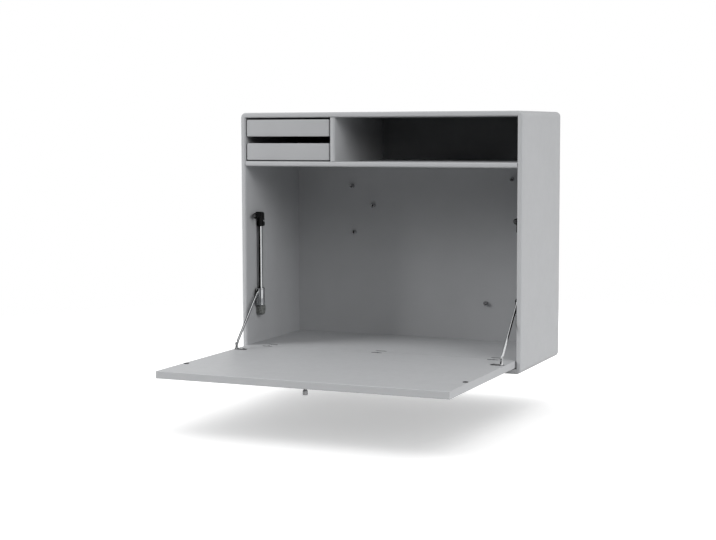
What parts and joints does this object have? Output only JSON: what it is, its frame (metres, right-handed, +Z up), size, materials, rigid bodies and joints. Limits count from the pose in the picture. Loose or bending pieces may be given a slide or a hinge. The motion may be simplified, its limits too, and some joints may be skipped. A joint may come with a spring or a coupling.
{
  "type": "fold down wall desk",
  "caption": "Shallow wall cabinet with a flap that folds down on damped stays as a worktop, small trays and an open bay above, and a magnetic steel back.",
  "frame": {"origin": "on the wall plane, in the middle of the wall rail's line of screws", "axes": "+Z up, +Y into the wall, +X to the right as one faces the desk"},
  "size_m": [0.696, 0.726, 0.59],
  "materials": {
    "grey_board": "lacquered board, light grey, satin",
    "tray_board": "lacquered board, light grey, satin",
    "bare_board": "grey hardboard and plywood, not seen in use",
    "grey_sheet_steel": "light grey powder coat, fine satin",
    "bright_chrome": "bright plated steel",
    "satin_steel": "zinc plated or satin steel",
    "black_plastic": "black moulded nylon",
    "dark_grey_plastic": "dark grey moulded nylon"
  },
  "bodies": {
    "cabinet": {"top_panel": "grey_board", "bottom_panel": "grey_board", "left_side": "grey_board", "right_side": "grey_board", "mitre_splines": "bare_board", "board_tongues": "bare_board", "shelf": "grey_board", "tray_divider": "grey_board", "back_board": "bare_board", "steel_face": "grey_sheet_steel", "floor_board": "grey_board", "floor_leaves": "grey_sheet_steel", "stay_tubes": "bright_chrome", "stay_feet": "dark_grey_plastic", "stay_heads": "black_plastic", "catches": "black_plastic", "catch_magnets": "bright_chrome", "tray_runners": "bare_board", "wall_rail": "satin_steel", "hanger_strip": "satin_steel"},
    "flap": {"flap_board": "grey_board", "flap_leaves": "grey_sheet_steel", "pull_knob": "satin_steel", "knob_stud": "satin_steel", "stay_posts": "bright_chrome", "strike_discs": "satin_steel"},
    "slider_left": {"stay_slider_left": "bright_chrome"},
    "slider_right": {"stay_slider_right": "bright_chrome"},
    "arm_left": {"stay_arm_left": "bright_chrome"},
    "arm_right": {"stay_arm_right": "bright_chrome"},
    "upper_tray": {"upper_tray_front": "grey_board", "upper_tray_sides": "tray_board", "upper_tray_back": "tray_board", "upper_tray_bottom": "tray_board"},
    "lower_tray": {"lower_tray_front": "grey_board", "lower_tray_sides": "tray_board", "lower_tray_back": "tray_board", "lower_tray_bottom": "tray_board"},
    "magnet_1": {"board_magnet_1": "bright_chrome"},
    "magnet_2": {"board_magnet_2": "bright_chrome"},
    "magnet_3": {"board_magnet_3": "bright_chrome"},
    "magnet_4": {"board_magnet_4": "bright_chrome"},
    "magnet_5": {"board_magnet_5": "bright_chrome"}
  },
  "joints": [
    {"name": "flap_fold", "type": "hinge", "parent": "cabinet", "child": "flap", "pos_m": [0, -0.292, -0.52], "axis": [-1, 0, 0], "range_deg": [0, 90]},
    {"name": "slide_left", "type": "slide", "parent": "cabinet", "child": "slider_left", "axis": [0, 0, 1], "range_m": [0, 0.1049]},
    {"name": "slide_right", "type": "slide", "parent": "cabinet", "child": "slider_right", "axis": [0, 0, 1], "range_m": [0, 0.1049]},
    {"name": "arm_turn_left", "type": "hinge", "parent": "flap", "child": "arm_left", "pos_m": [-0.326, -0.372, -0.4986], "axis": [1, 0, 0], "range_deg": [0, 130.4]},
    {"name": "arm_turn_right", "type": "hinge", "parent": "flap", "child": "arm_right", "pos_m": [0.326, -0.372, -0.4986], "axis": [1, 0, 0], "range_deg": [0, 130.4]},
    {"name": "upper_tray_slide", "type": "slide", "parent": "cabinet", "child": "upper_tray", "axis": [0, -1, 0], "range_m": [0, 0.18]},
    {"name": "lower_tray_slide", "type": "slide", "parent": "cabinet", "child": "lower_tray", "axis": [0, -1, 0], "range_m": [0, 0.18]},
    {"name": "magnet_1_pull", "type": "slide", "parent": "cabinet", "child": "magnet_1", "axis": [0, -1, 0], "range_m": [0, 0.03]},
    {"name": "magnet_2_pull", "type": "slide", "parent": "cabinet", "child": "magnet_2", "axis": [0, -1, 0], "range_m": [0, 0.03]},
    {"name": "magnet_3_pull", "type": "slide", "parent": "cabinet", "child": "magnet_3", "axis": [0, -1, 0], "range_m": [0, 0.03]},
    {"name": "magnet_4_pull", "type": "slide", "parent": "cabinet", "child": "magnet_4", "axis": [0, -1, 0], "range_m": [0, 0.03]},
    {"name": "magnet_5_pull", "type": "slide", "parent": "cabinet", "child": "magnet_5", "axis": [0, -1, 0], "range_m": [0, 0.03]}
  ],
  "couplings": [
    {"joint": "slide_left", "follows": "flap_fold", "m_per_rad": 0.066687},
    {"joint": "slide_right", "follows": "flap_fold", "m_per_rad": 0.066687},
    {"joint": "arm_turn_left", "follows": "flap_fold", "ratio": 1.4484},
    {"joint": "arm_turn_right", "follows": "flap_fold", "ratio": 1.4484}
  ]
}
